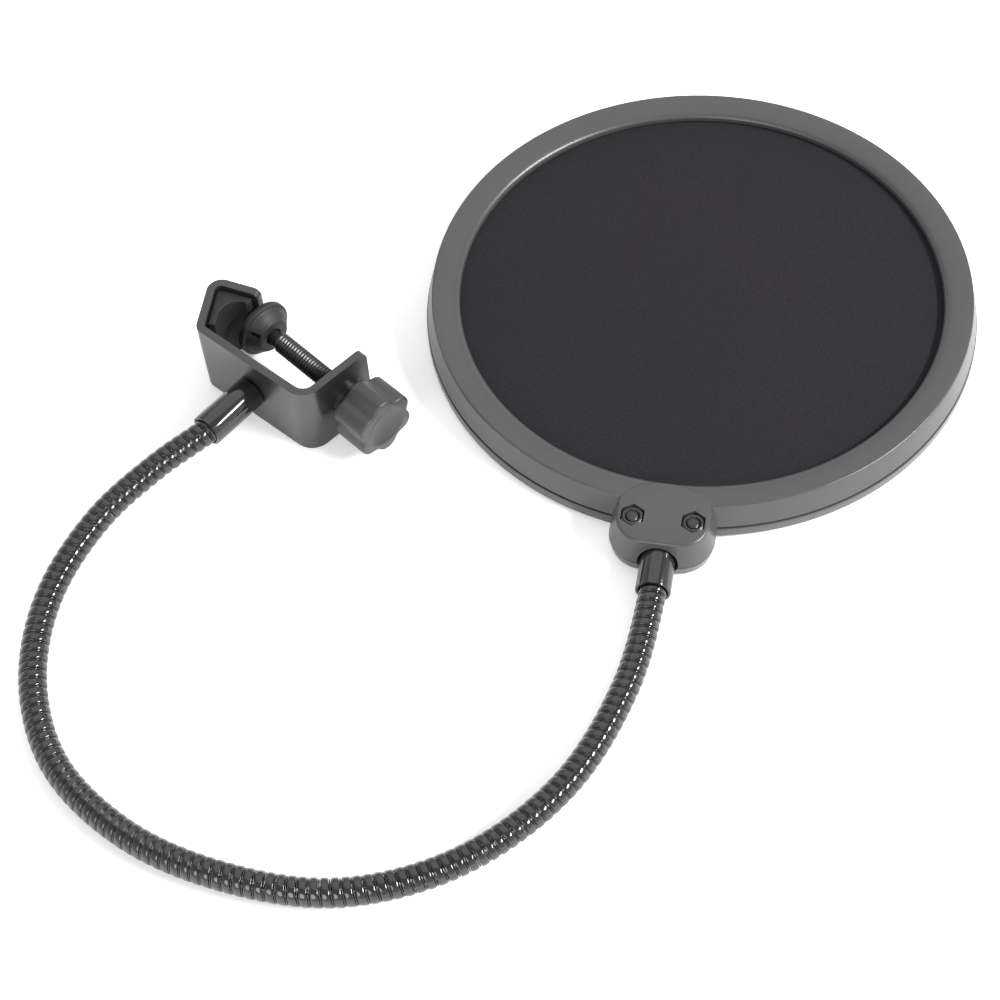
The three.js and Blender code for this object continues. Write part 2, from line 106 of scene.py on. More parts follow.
def hoop_frame():
    """The hoop's own frame: its middle on the table, with the tab towards -Y."""
    centre = middle_of("front_mesh")
    tab = (middle_of("tab_nut_left") + middle_of("tab_nut_right")) / 2 - centre
    turn = math.atan2(tab.y, tab.x) + math.pi / 2
    return Matrix.Translation((centre.x, centre.y, 0)) @ Matrix.Rotation(turn, 4, "Z")


def screw_frame():
    """The clamp screw's frame: X runs out along it to the knob."""
    joint = JOINTS["screw_turn"]
    out = -Vector(joint["axis"]).normalized()
    side = Vector((0, 0, 1)).cross(out)
    turned = Matrix((out, side, (0, 0, 1))).transposed().to_4x4()
    return Matrix.Translation(joint["pos_m"]) @ turned


HOOP = hoop_frame()
SCREW = screw_frame()
# The clamp's frame has the outer corner of its back plate at the origin and the plate along X.
CLAMP = Matrix.Translation((-81.345 * MM, -32.385 * MM, 0))
STRIP_THICK = 2.3
STRIP_WIDTH = 23.5
FERRULE_PLACE = (19.5, 0, STRIP_WIDTH / 2)
HOOK_TIP = (4.4, 21.3)
HOOK_CORNER = (-10.2, 16.4)
BACK_CORNER = (0, 0)
PLATE_CORNER = (40.6, 0)
PLATE_END = (42.59, 22.71)
ALONG_X = Matrix.Rotation(math.pi / 2, 4, "Y")
ALONG_Y = Matrix.Rotation(-math.pi / 2, 4, "X")


# ---- Modelling ----


def alone(piece):
    """Leaves one object selected and active."""
    bpy.ops.object.select_all(action="DESELECT")
    piece.select_set(True)
    bpy.context.view_layer.objects.active = piece


def edit(piece):
    """Opens one object for editing, with vertices selectable."""
    alone(piece)
    bpy.ops.object.mode_set(mode="EDIT")
    bpy.ops.mesh.select_mode(type="VERT")


def leave():
    bpy.ops.object.mode_set(mode="OBJECT")


def pick(piece, kind, wanted):
    """In edit mode, selects only the edges or faces that `wanted` says yes to."""
    bpy.ops.mesh.select_mode(type=kind)
    bpy.ops.mesh.select_all(action="DESELECT")
    shape = bmesh.from_edit_mesh(piece.data)
    members = shape.edges if kind == "EDGE" else shape.faces
    for member in members:
        if wanted(member):
            member.select_set(True)
    shape.select_flush_mode()
    bmesh.update_edit_mesh(piece.data)


def drawn(name, points, filled=False):
    """A line drawn point by point. A filled one is closed and made a face."""
    bpy.ops.object.select_all(action="DESELECT")
    bpy.ops.mesh.primitive_plane_add(size=MM, location=(0, 0, 0))
    piece = bpy.context.object
    piece.name = name
    edit(piece)
    bpy.ops.mesh.select_all(action="SELECT")
    bpy.ops.mesh.merge(type="CENTER")
    here = Vector(points[0]) * MM
    bpy.ops.transform.translate(value=here)
    for point in [*points[1:], points[0]] if filled else points[1:]:
        step = Vector(point) * MM - here
        bpy.ops.mesh.extrude_region_move(TRANSFORM_OT_translate={"value": step})
        here = here + step
    bpy.ops.mesh.select_all(action="SELECT")
    if filled:
        bpy.ops.mesh.remove_doubles(threshold=0.001 * MM)
        bpy.ops.mesh.edge_face_add()
    leave()
    return piece


def spun(name, profile, steps):
    """A profile of (radius, height) points spun round Z. A ring's profile ends where it starts."""
    piece = drawn(name, [(radius, 0, height) for radius, height in profile])
    edit(piece)
    bpy.ops.mesh.select_all(action="SELECT")
    bpy.ops.mesh.spin(steps=steps, angle=2 * math.pi, center=(0, 0, 0), axis=(0, 0, 1))
    bpy.ops.mesh.select_all(action="SELECT")
    bpy.ops.mesh.remove_doubles(threshold=0.001 * MM)
    bpy.ops.mesh.normals_make_consistent(inside=False)
    leave()
    return piece


def rod(name, radius, low, high, steps):
    return spun(name, [(0, low), (radius, low), (radius, high), (0, high)], steps)


def prism(name, outline, low, high):
    """A closed outline of (x, y) points made a block between two heights."""
    piece = drawn(name, [(x, y, low) for x, y in outline], filled=True)
    edit(piece)
    bpy.ops.mesh.select_all(action="SELECT")
    rise = (0, 0, (high - low) * MM)
    bpy.ops.mesh.extrude_region_move(TRANSFORM_OT_translate={"value": rise})
    bpy.ops.mesh.select_all(action="SELECT")
    bpy.ops.mesh.normals_make_consistent(inside=False)
    leave()
    return piece


def modified(piece, kind, **values):
    """Adds a modifier with its values and applies it."""
    alone(piece)
    bpy.ops.object.modifier_add(type=kind)
    modifier = piece.modifiers[-1]
    for key, value in values.items():
        setattr(modifier, key, value)
    bpy.ops.object.modifier_apply(modifier=modifier.name)
    return piece


def combined(piece, operation, *tools):
    """Joins tools to a piece, or cuts them from it. The tools are used up."""
    for tool in tools:
        modified(piece, "BOOLEAN", operation=operation, object=tool, solver="EXACT")
        bpy.data.objects.remove(tool)
    return piece


def settled(piece, place):
    """Moves a piece to its place and keeps that place in its mesh."""
    alone(piece)
    piece.matrix_world = place
    bpy.ops.object.transform_apply(location=True, rotation=True, scale=True)
    return piece


def softened(piece, width, segments=2, angle=35):
    """Rounds a piece's edges by a bevel."""
    return modified(
        piece,
        "BEVEL",
        width=width * MM,
        segments=segments,
        limit_method="ANGLE",
        angle_limit=math.radians(angle),
        use_clamp_overlap=True,
    )


def finished(piece, material, slot, body, *nodes, smooth=35):
    """Gives a piece its finish, its body and the nodes that it stands for."""
    piece.data.materials.clear()
    piece.data.materials.append(material)
    alone(piece)
    bpy.ops.object.shade_smooth_by_angle(angle=math.radians(smooth))
    if body:
        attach(piece, body)
    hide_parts(*nodes)
    return piece


def arc(centre, radius, start, end, steps):
    """Points of an arc, its angles in degrees."""
    angles = [math.radians(start + (end - start) * i / steps) for i in range(steps + 1)]
    return [
        (centre[0] + radius * math.cos(a), centre[1] + radius * math.sin(a))
        for a in angles
    ]


def inset_path(points, distance):
    """A path moved to its left, its corners mitred."""
    corners = [Vector(p) for p in points]
    steps = [(b - a).normalized() for a, b in zip(corners, corners[1:])]
    lefts = [Vector((-d.y, d.x)) for d in steps]
    moved = []
    for i, corner in enumerate(corners):
        before = lefts[max(i - 1, 0)]
        after = lefts[min(i, len(lefts) - 1)]
        mitre = (before + after).normalized()
        moved.append(corner + mitre * (distance / mitre.dot(after)))
    return [tuple(p) for p in moved]


def rounded_path(points, radii, steps=8):
    """A path with each inner corner rounded by its radius."""
    path = [tuple(points[0])]
    for i, radius in enumerate(radii, start=1):
        corner = Vector(points[i])
        before = (Vector(points[i - 1]) - corner).normalized()
        after = (Vector(points[i + 1]) - corner).normalized()
        half = before.angle(after) / 2
        centre = corner + (before + after).normalized() * (radius / math.sin(half))
        first = corner + before * (radius / math.tan(half)) - centre
        last = corner + after * (radius / math.tan(half)) - centre
        turn = -first.angle_signed(last)
        for k in range(steps + 1):
            path.append(tuple(centre + Matrix.Rotation(turn * k / steps, 2) @ first))
    path.append(tuple(points[-1]))
    return path


# ---- Finishes ----


def node_group(name, inputs, outputs):
    """An empty shader group with its sockets, and a way to add linked nodes."""
    tree = bpy.data.node_groups.new(name, "ShaderNodeTree")
    for socket, default in inputs:
        added = tree.interface.new_socket(socket, in_out="INPUT", socket_type="NodeSocketFloat")
        added.default_value = default
    for socket in outputs:
        tree.interface.new_socket(socket, in_out="OUTPUT", socket_type="NodeSocketFloat")
    return tree, tree.nodes.new("NodeGroupInput"), tree.nodes.new("NodeGroupOutput")


def add(tree, kind, links=None, **values):
    """Adds a node, links its inputs by name or number, and sets its other values."""
    node = tree.nodes.new(kind)
    for key, value in values.items():
        setattr(node, key, value)
    for socket, source in (links or {}).items():
        if isinstance(source, bpy.types.NodeSocket):
            tree.links.new(source, node.inputs[socket])
        else:
            node.inputs[socket].default_value = source
    return node


def math_node(tree, operation, first, second):
    node = add(tree, "ShaderNodeMath", operation=operation)
    for socket, value in zip(node.inputs, (first, second)):
        if isinstance(value, bpy.types.NodeSocket):
            tree.links.new(value, socket)
        else:
            socket.default_value = value
    return node.outputs[0]


def ranged(tree, value, low, high, to_low, to_high):
    links = {"Value": value, "From Min": low, "From Max": high, "To Min": to_low, "To Max": to_high}
    return add(tree, "ShaderNodeMapRange", links).outputs["Result"]


def grain_group():
    """Moulded or painted surface grain: fine bumps over slow, broad variation."""
    tree, given, result = node_group(
        "Surface grain", [("Fine scale", 4000), ("Broad scale", 60)], ["Height", "Broad"]
    )
    place = add(tree, "ShaderNodeTexCoord").outputs["Object"]
    fine = add(
        tree,
        "ShaderNodeTexNoise",
        {"Vector": place, "Scale": given.outputs["Fine scale"], "Detail": 2.0, "Roughness": 0.6},
    )
    broad = add(
        tree,
        "ShaderNodeTexNoise",
        {"Vector": place, "Scale": given.outputs["Broad scale"], "Detail": 5.0, "Roughness": 0.6},
    )
    tree.links.new(fine.outputs["Fac"], result.inputs["Height"])
    tree.links.new(broad.outputs["Fac"], result.inputs["Broad"])
    return tree


def lint_group():
    """Stray lint: a few small pale specks, as a mask."""
    tree, given, result = node_group(
        "Lint", [("Scale", 90), ("Size", 0.05), ("Share", 0.25)], ["Mask"]
    )
    place = add(tree, "ShaderNodeTexCoord").outputs["Object"]
    bend = add(tree, "ShaderNodeTexNoise", {"Vector": place, "Scale": 900.0})
    shifted = add(
        tree,
        "ShaderNodeVectorMath",
        {0: bend.outputs["Color"], 1: (0.0008, 0.0008, 0.0)},
        operation="MULTIPLY",
    )
    moved = add(tree, "ShaderNodeVectorMath", {0: place, 1: shifted.outputs[0]}, operation="ADD")
    cells = add(
        tree,
        "ShaderNodeTexVoronoi",
        {"Vector": moved.outputs[0], "Scale": given.outputs["Scale"]},
    )
    near = math_node(tree, "LESS_THAN", cells.outputs["Distance"], given.outputs["Size"])
    tone = add(tree, "ShaderNodeSeparateColor", {"Color": cells.outputs["Color"]})
    chosen = math_node(tree, "LESS_THAN", tone.outputs[0], given.outputs["Share"])
    tree.links.new(math_node(tree, "MULTIPLY", near, chosen), result.inputs["Mask"])
    return tree


def weave_group():
    """Crossed threads: their height, and a tone that mixes random speckle with painted shade,
    lighter on the raised crossings and darker in the gaps between threads.
    """
    tree, given, result = node_group(
        "Fine weave", [("Threads", 900), ("Turn", 0.5)], ["Height", "Tone and painted shade"]
    )
    place = add(tree, "ShaderNodeTexCoord").outputs["Object"]
    turned = add(
        tree,
        "ShaderNodeVectorRotate",
        {"Vector": place, "Angle": given.outputs["Turn"]},
        rotation_type="Z_AXIS",
    ).outputs[0]
    waves = []
    for direction in ("X", "Y"):
        wave = add(
            tree,
            "ShaderNodeTexWave",
            {"Vector": turned, "Scale": given.outputs["Threads"], "Distortion": 0.6, "Detail": 1.0},
            wave_type="BANDS",
            bands_direction=direction,
        )
        waves.append(wave.outputs["Fac"])
    height = math_node(tree, "MULTIPLY", waves[0], waves[1])
    speckle = add(tree, "ShaderNodeTexNoise", {"Vector": turned, "Scale": 1400.0, "Detail": 3.0})
    # Painted shade: the tone follows the threads' height, lighter on their crossings and darker
    # between them, with random speckle added.
    tone = math_node(tree, "ADD", math_node(tree, "MULTIPLY", height, 0.6), speckle.outputs["Fac"])
    tree.links.new(height, result.inputs["Height"])
    tree.links.new(tone, result.inputs["Tone and painted shade"])
    return tree


GROUPS = {}


def group_named(name):
    """A shared effect's group, made the first time that it is asked for."""
    makers = {"grain": grain_group, "lint": lint_group, "weave": weave_group}
    if name not in GROUPS:
        GROUPS[name] = makers[name]()
    return GROUPS[name]


def placed_group(tree, name, **values):
    node = tree.nodes.new("ShaderNodeGroup")
    node.node_tree = group_named(name)
    for key, value in values.items():
        node.inputs[key.replace("_", " ")].default_value = value
    return node


def colour_mix(tree, factor, first, second):
    node = add(tree, "ShaderNodeMix", data_type="RGBA")
    tree.links.new(factor, node.inputs["Factor"])
    for socket, value in zip((node.inputs[6], node.inputs[7]), (first, second)):
        if isinstance(value, bpy.types.NodeSocket):
            tree.links.new(value, socket)
        else:
            socket.default_value = (*value, 1)
    return node.outputs[2]


def grey(value, warmth=0.0):
    return (value * (1 + warmth), value, value * (1 - warmth))


def grained(name, colour, spread, rough, bump, fine=4000, broad=60, metallic=0.0, **sockets):
    """A finish with fine grain, broad tone changes and a little lint on it."""
    found = bpy.data.materials.get(name)
    if found:
        return found
    material = bpy.data.materials.new(name)
    material.use_nodes = True
    tree = material.node_tree
    shader = tree.nodes["Principled BSDF"]
    grain = placed_group(tree, "grain", Fine_scale=fine, Broad_scale=broad)
    low = tuple(channel * (1 - spread) for channel in colour)
    high = tuple(channel * (1 + spread) for channel in colour)
    level = ranged(tree, grain.outputs["Broad"], 0.3, 0.7, 0.0, 1.0)
    base = colour_mix(tree, level, low, high)
    lint = placed_group(tree, "lint", Scale=70, Size=0.02, Share=0.2)
    dusty = colour_mix(tree, lint.outputs["Mask"], base, tuple(c * 2.2 + 0.02 for c in colour))
    tree.links.new(dusty, shader.inputs["Base Color"])
    roughness = ranged(tree, grain.outputs["Broad"], 0.3, 0.7, rough[0], rough[1])
    tree.links.new(roughness, shader.inputs["Roughness"])
    lumps = add(
        tree,
        "ShaderNodeBump",
        {"Height": grain.outputs["Height"], "Strength": bump[0], "Distance": bump[1] * MM},
    )
    tree.links.new(lumps.outputs["Normal"], shader.inputs["Normal"])
    shader.inputs["Metallic"].default_value = metallic
    for socket, value in sockets.items():
        shader.inputs[socket.replace("_", " ")].default_value = value
    return material


def hoop_plastic():
    colour = tuple(bpy.context.scene.pop_filter_hoop.colour)
    return grained("Hoop plastic", colour, 0.05, (0.27, 0.34), (0.25, 0.02), 5000, 45)


def knob_plastic():
    colour = tuple(bpy.context.scene.pop_filter_clamp.knob_colour)
    return grained("Knob plastic", colour, 0.08, (0.36, 0.46), (0.3, 0.02), 5000, 90)


def gloss_metal():
    colour = tuple(bpy.context.scene.pop_filter_neck.colour)
    return grained(
        "Gloss black metal", colour, 0.15, (0.08, 0.13), (0.1, 0.01), 2500, 150,
        Specular_IOR_Level=0.8,
    )


def black_steel():
    return grained(
        "Black oxide steel", grey(0.035), 0.2, (0.22, 0.34), (0.2, 0.01), 6000, 300, 0.35
    )


def satin_paint():
    colour = tuple(bpy.context.scene.pop_filter_clamp.paint_colour)
    return grained(
        "Satin paint", colour, 0.12, (0.28, 0.36), (0.3, 0.03), 1800, 70, Specular_IOR_Level=0.85
    )


def rubber():
    return grained(
        "Black rubber", grey(0.013, 0.03), 0.2, (0.5, 0.62), (0.5, 0.05), 2600, 220,
        Specular_IOR_Level=0.4,
    )


def nylon():
    """Charcoal nylon with crossed threads, painted lighter on their crossings and darker between
    them, a soft sheen and stray lint.
    """
    found = bpy.data.materials.get("Nylon mesh")
    if found:
        return found
    colour = tuple(bpy.context.scene.pop_filter_hoop.screen_colour)
    material = bpy.data.materials.new("Nylon mesh")
    material.use_nodes = True
    tree = material.node_tree
    shader = tree.nodes["Principled BSDF"]
    weave = placed_group(tree, "weave", Threads=480, Turn=0.6)
    # Painted shade: the weave's tone makes the cloth lighter on the thread crossings and darker
    # between the threads.
    level = ranged(tree, weave.outputs["Tone and painted shade"], 0.35, 1.05, 0.0, 1.0)
    cloth = colour_mix(tree, level, tuple(c * 0.72 for c in colour), tuple(c * 1.3 for c in colour))
    broad = placed_group(tree, "grain", Fine_scale=700, Broad_scale=22)
    shade = ranged(tree, broad.outputs["Broad"], 0.3, 0.7, 0.0, 0.35)
    toned = colour_mix(tree, shade, cloth, tuple(c * 0.8 for c in colour))
    lint = placed_group(tree, "lint", Scale=55, Size=0.016, Share=0.3)
    tree.links.new(
        colour_mix(tree, lint.outputs["Mask"], toned, grey(0.25)), shader.inputs["Base Color"]
    )
    bump = add(
        tree,
        "ShaderNodeBump",
        {"Height": weave.outputs["Height"], "Strength": 0.5, "Distance": 0.08 * MM},
    )
    tree.links.new(bump.outputs["Normal"], shader.inputs["Normal"])
    shader.inputs["Roughness"].default_value = 0.9
    shader.inputs["Specular IOR Level"].default_value = 0.1
    shader.inputs["Sheen Weight"].default_value = 0.02
    shader.inputs["Sheen Roughness"].default_value = 0.5
    return material


# ---- Sizes and colours ----


class HoopSettings(bpy.types.PropertyGroup):
    colour: FloatVectorProperty(
        name="Plastic", description="Colour of the hoop's plastic", subtype="COLOR",
        default=(0.048, 0.0485, 0.0495), min=0, max=1,
    )
    screen_colour: FloatVectorProperty(
        name="Screen", description="Colour of the nylon screens", subtype="COLOR",
        default=(0.017, 0.0158, 0.0185), min=0, max=1,
    )
    steps: IntProperty(
        name="Steps", description="Steps round the hoop", default=192, min=48, max=512
    )


class NeckSettings(bpy.types.PropertyGroup):
    colour: FloatVectorProperty(
        name="Plating", description="Colour of the gooseneck's plating", subtype="COLOR",
        default=(0.008, 0.008, 0.0085), min=0, max=1,
    )
    turns: IntProperty(
        name="Turns", description="Turns of wire in each section", default=12, min=4, max=24
    )
    bend: FloatProperty(
        name="Bend length", description="How far a bend spreads each side of a hinge",
        default=0.013, min=0.004, max=0.015, unit="LENGTH",
    )


class ClampSettings(bpy.types.PropertyGroup):
    paint_colour: FloatVectorProperty(
        name="Paint", description="Colour of the bracket's paint", subtype="COLOR",
        default=(0.012, 0.012, 0.0124), min=0, max=1,
    )
    knob_colour: FloatVectorProperty(
        name="Knob", description="Colour of the knob's plastic", subtype="COLOR",
        default=(0.034, 0.034, 0.035), min=0, max=1,
    )
    edge: FloatProperty(
        name="Edge", description="Rounding of the strip's edges", default=0.0005,
        min=0.0001, max=0.001, unit="LENGTH",
    )


class StageSettings(bpy.types.PropertyGroup):
    floor_colour: FloatVectorProperty(
        name="Floor", description="Colour of the floor", subtype="COLOR",
        default=(0.95, 0.95, 0.95), min=0, max=1,
    )
    surround: FloatProperty(
        name="Surround", description="Brightness of the surround at its foot",
        default=1.2, min=0, max=5,
    )
    key_power: FloatProperty(
        name="Key light", description="Power of the soft key light",
        default=38.0, min=0, unit="POWER",
    )


# ---- Hoop ----

HOOP_HEIGHT = 12.1
SEAM_LOW = 4.0
SEAM_HIGH = 4.4
OPENING_R = 67.7
BACK_R = 77.5
MESH_R = 73.6
NECK_Z = 5.3
TAB_SCREW_X = 7.95
TAB_SCREW_Y = -80.3
NUT_FLATS = 5.5
NUT_THICK = 2.3
NUT_SUNK = 0.35
TAB_HOLE_R = 1.8
THROUGH = (-1, 13)  # Heights that take a tool right through the hoop.
SCREEN_RINGS = 6


def tab_outline(spread, back):
    """The tab seen from the front, grown by `spread`, with a rounded back on the rim."""
    width = 12.2 + spread
    front = -(88.3 + spread)
    radius = 8.5 + spread / 2
    left = arc((-width + radius, front + radius), radius, 180, 270, 10)
    right = arc((width - radius, front + radius), radius, 270, 360, 10)
    reach = back + 76
    crown = [
        (width * math.cos(math.radians(a)), -76 + reach * math.sin(math.radians(a)))
        for a in range(0, 181, 12)
    ]
    return [*left, *right, *crown]


def hexagon(flats):
    corner = flats / math.sqrt(3)
    return [
        (corner * math.sin(math.radians(60 * k)), corner * math.cos(math.radians(60 * k)))
        for k in range(6)
    ]


def at_screws(make):
    """One tool for each of the tab's two screws."""
    places = [Vector((x, TAB_SCREW_Y, 0)) * MM for x in (-TAB_SCREW_X, TAB_SCREW_X)]
    return [settled(make(), Matrix.Translation(place)) for place in places]


def ferrule_way():
    """The round way into the tab, flared at its mouth, with room for the ferrule's rib."""
    profile = [
        (0, -96), (5.6, -96), (5.5, -90.2), (5.3, -89.5), (5.1, -89), (5.0, -88.4),
        (4.95, -87.6), (4.95, -84.5),
        (3.9, -84.5), (3.9, -83), (4.95, -83), (4.95, -78.8), (0, -78.8),
    ]
    return settled(spun("way", profile, 48), Matrix.Translation((0, 0, NECK_Z * MM)) @ ALONG_Y)


def tapered_block(name, outline, low, rises):
    """An outline raised in steps of (inwards, upwards), so that its sides lean and round over."""
    piece = drawn(name, [(x, y, low) for x, y in outline], filled=True)
    edit(piece)
    bpy.ops.mesh.select_all(action="SELECT")
    bpy.ops.mesh.normals_make_consistent(inside=False)
    bpy.ops.mesh.select_mode(type="FACE")
    shape = bmesh.from_edit_mesh(piece.data)
    if next(iter(shape.faces)).normal.z < 0:
        bpy.ops.mesh.flip_normals()
    for inwards, upwards in rises:
        bpy.ops.mesh.inset(thickness=inwards * MM, depth=upwards * MM, use_boundary=True)
    bpy.ops.mesh.select_all(action="SELECT")
    bpy.ops.mesh.fill_holes(sides=0)
    bpy.ops.mesh.select_all(action="SELECT")
    bpy.ops.mesh.normals_make_consistent(inside=False)
    leave()
    return piece


class POPFILTER_OT_front_rim(bpy.types.Operator):
    """Make the hoop's front shell, with its half of the tab"""

    bl_idname = "mesh.pop_filter_front_rim"
    bl_label = "Front rim"

    def execute(self, context):
        steps = context.scene.pop_filter_hoop.steps
        profile = [
            (75.4, SEAM_HIGH), (77.0, SEAM_HIGH), (77.2, 4.6), (76.4, 7.9), (75.68, 11.5),
            (75.62, 11.68), (75.5, 11.82), (75.32, 11.91), (75.08, 11.95), (74.8, 11.96),
            (73.6, 11.9), (72.3, 11.76), (71, 11.56), (69.8, 11.3), (68.95, 11.0),
            (68.35, 10.68), (67.92, 10.3), (67.73, 9.95), (OPENING_R, 9.5), (OPENING_R, 8.85),
            (69.3, 8.85), (69.3, 10), (74, 10.2), (75.4, SEAM_HIGH),
        ]
        piece = spun("front_rim_shell", profile, steps)
        rises = [(1.7, 6.85), (0.08, 0.3), (0.16, 0.26), (0.26, 0.18), (0.32, 0.11)]
        tab = tapered_block("tab", tab_outline(1.8, -66.9), SEAM_HIGH, rises)
        combined(
            tab,
            "DIFFERENCE",
            rod("channel", 74.6, 0, 10.2, steps),
            rod("mouth", 69.3, *THROUGH, steps),
        )
        combined(piece, "UNION", tab)
        pocket = HOOP_HEIGHT - NUT_THICK - 0.4
        combined(
            piece,
            "DIFFERENCE",
            ferrule_way(),
            *at_screws(lambda: rod("hole", TAB_HOLE_R, *THROUGH, 24)),
            *at_screws(lambda: prism("pocket", hexagon(NUT_FLATS + 0.6), pocket, 13)),
        )
        settled(piece, HOOP)
        finished(piece, hoop_plastic(), "hoop_plastic", "hoop", "front_rim", smooth=28)
        return {"FINISHED"}


class POPFILTER_OT_back_rim(bpy.types.Operator):
    """Make the hoop's back ring, with its half of the tab"""

    bl_idname = "mesh.pop_filter_back_rim"
    bl_label = "Back rim"

    def execute(self, context):
        steps = context.scene.pop_filter_hoop.steps
        profile = [
            (68.2, 0), (75.9, 0), (76.6, 0.12), (77.1, 0.4), (77.38, 0.85), (BACK_R, 1.4),
            (BACK_R, 3.75), (77.35, SEAM_LOW), (75.7, SEAM_LOW), (75.7, 1.8), (69.3, 1.8),
            (69.3, 3.25), (OPENING_R, 3.25), (OPENING_R, 0.5), (67.85, 0.15), (68.2, 0),
        ]
        piece = spun("back_rim_shell", profile, steps)
        tab = tapered_block(
            "tab",
            tab_outline(1.7, -67.2),
            SEAM_LOW,
            [(0.45, -2.7), (0.2, -0.6), (0.3, -0.4), (0.45, -0.3)],
        )
        combined(tab, "DIFFERENCE", rod("mouth", 75.9, *THROUGH, steps))
        combined(piece, "UNION", tab)
        combined(
            piece,
            "DIFFERENCE",
            ferrule_way(),
            *at_screws(lambda: rod("hole", TAB_HOLE_R, *THROUGH, 24)),
            *at_screws(lambda: rod("head", 3.1, -1, 2.4, 32)),
        )
        settled(piece, HOOP)
        finished(piece, hoop_plastic(), "hoop_plastic", "hoop", "back_rim", smooth=28)
        return {"FINISHED"}


class POPFILTER_OT_screens(bpy.types.Operator):
    """Make the two stretched nylon screens and the ring that keeps them apart"""

    bl_idname = "mesh.pop_filter_screens"
    bl_label = "Screens"

    def execute(self, context):
        steps = context.scene.pop_filter_hoop.steps
        for node in ("front_mesh", "back_mesh"):
            low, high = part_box(node)
            bpy.ops.object.select_all(action="DESELECT")
            bpy.ops.mesh.primitive_circle_add(
                vertices=steps, radius=MESH_R * MM, fill_type="NGON", location=(0, 0, 0)
            )
            screen = bpy.context.object
            screen.name = node + "_nylon"
            edit(screen)
            bpy.ops.mesh.select_all(action="SELECT")
            ring = MESH_R * MM / (SCREEN_RINGS + 1.5)
            for _ in range(SCREEN_RINGS):
                bpy.ops.mesh.inset(thickness=ring, depth=0)
            leave()
            modified(screen, "SOLIDIFY", thickness=0.2 * MM, offset=0)
            settled(screen, HOOP @ Matrix.Translation((0, 0, (low.z + high.z) / 2)))
            finished(screen, nylon(), "nylon_mesh", "hoop", node)
        low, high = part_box("spacer_ring")
        bottom, top = low.z / MM, high.z / MM
        middle = (bottom + top) / 2
        profile = [
            (68.3, bottom), (70.1, bottom), (70.1, middle - 0.6), (74, middle - 0.6),
            (74, middle + 0.6), (70.1, middle + 0.6), (70.1, top), (68.3, top), (68.3, bottom),
        ]
        spacer = settled(spun("spacer", profile, steps), HOOP)
        softened(spacer, 0.15)
        finished(spacer, hoop_plastic(), "hoop_plastic", "hoop", "spacer_ring")
        return {"FINISHED"}


def cross_slots(depth_from, depth_to, span, place):
    """Two crossed slots for a driver, as tools in the screw's own frame."""
    tools = []
    for half_x, half_y in ((span / 2, 0.35), (0.35, span / 2)):
        outline = [(-half_x, -half_y), (half_x, -half_y), (half_x, half_y), (-half_x, half_y)]
        tools.append(settled(prism("slot", outline, depth_from, depth_to), place))
    return tools


class POPFILTER_OT_tab_fasteners(bpy.types.Operator):
    """Make the tab's two screws and the nuts sunk in its front"""

    bl_idname = "mesh.pop_filter_tab_fasteners"
    bl_label = "Tab screws and nuts"

    def execute(self, context):
        for side, x in (("left", -TAB_SCREW_X), ("right", TAB_SCREW_X)):
            place = HOOP @ Matrix.Translation((x * MM, TAB_SCREW_Y * MM, 0))
            profile = [
                (0, 0.35), (1.8, 0.35), (2.3, 0.5), (2.65, 0.85), (2.75, 1.3), (2.75, 2.05),
                (1.5, 2.1), (1.5, 9.2),
            ]
            for turn in range(5):
                foot = 9.2 + 0.5 * turn
                profile += [(1.5, foot + 0.12), (1.27, foot + 0.3), (1.5, foot + 0.48)]
            profile += [(1.42, 11.66), (1.15, 11.84), (0, 11.86)]
            screw = spun(f"tab_screw_{side}_turned", profile, 32)
            combined(screw, "DIFFERENCE", *cross_slots(0.1, 1.3, 3.2, Matrix.Identity(4)))
            settled(screw, place)
            finished(screw, black_steel(), "black_steel", "hoop", f"tab_screw_{side}")
            low = HOOP_HEIGHT - NUT_THICK - NUT_SUNK
            nut = prism(f"tab_nut_{side}_hex", hexagon(NUT_FLATS), low, low + NUT_THICK)
            corner = NUT_FLATS / math.sqrt(3)
            cone = spun(
                "cone",
                [
                    (0, low - 1), (corner + 0.3, low - 1), (corner + 0.3, 11.2),
                    (2.5, 11.74), (0, 11.74),
                ],
                48,
            )
            modified(nut, "BOOLEAN", operation="INTERSECT", object=cone, solver="EXACT")
            bpy.data.objects.remove(cone)
            bore = spun(
                "bore",
                [(0, low - 1), (1.7, low - 1), (1.7, 11.2), (2.1, 11.76), (2.1, 13), (0, 13)],
                32,
            )
            combined(nut, "DIFFERENCE", bore)
            settled(nut, place)
            finished(nut, black_steel(), "black_steel", "hoop", f"tab_nut_{side}", smooth=20)
        return {"FINISHED"}


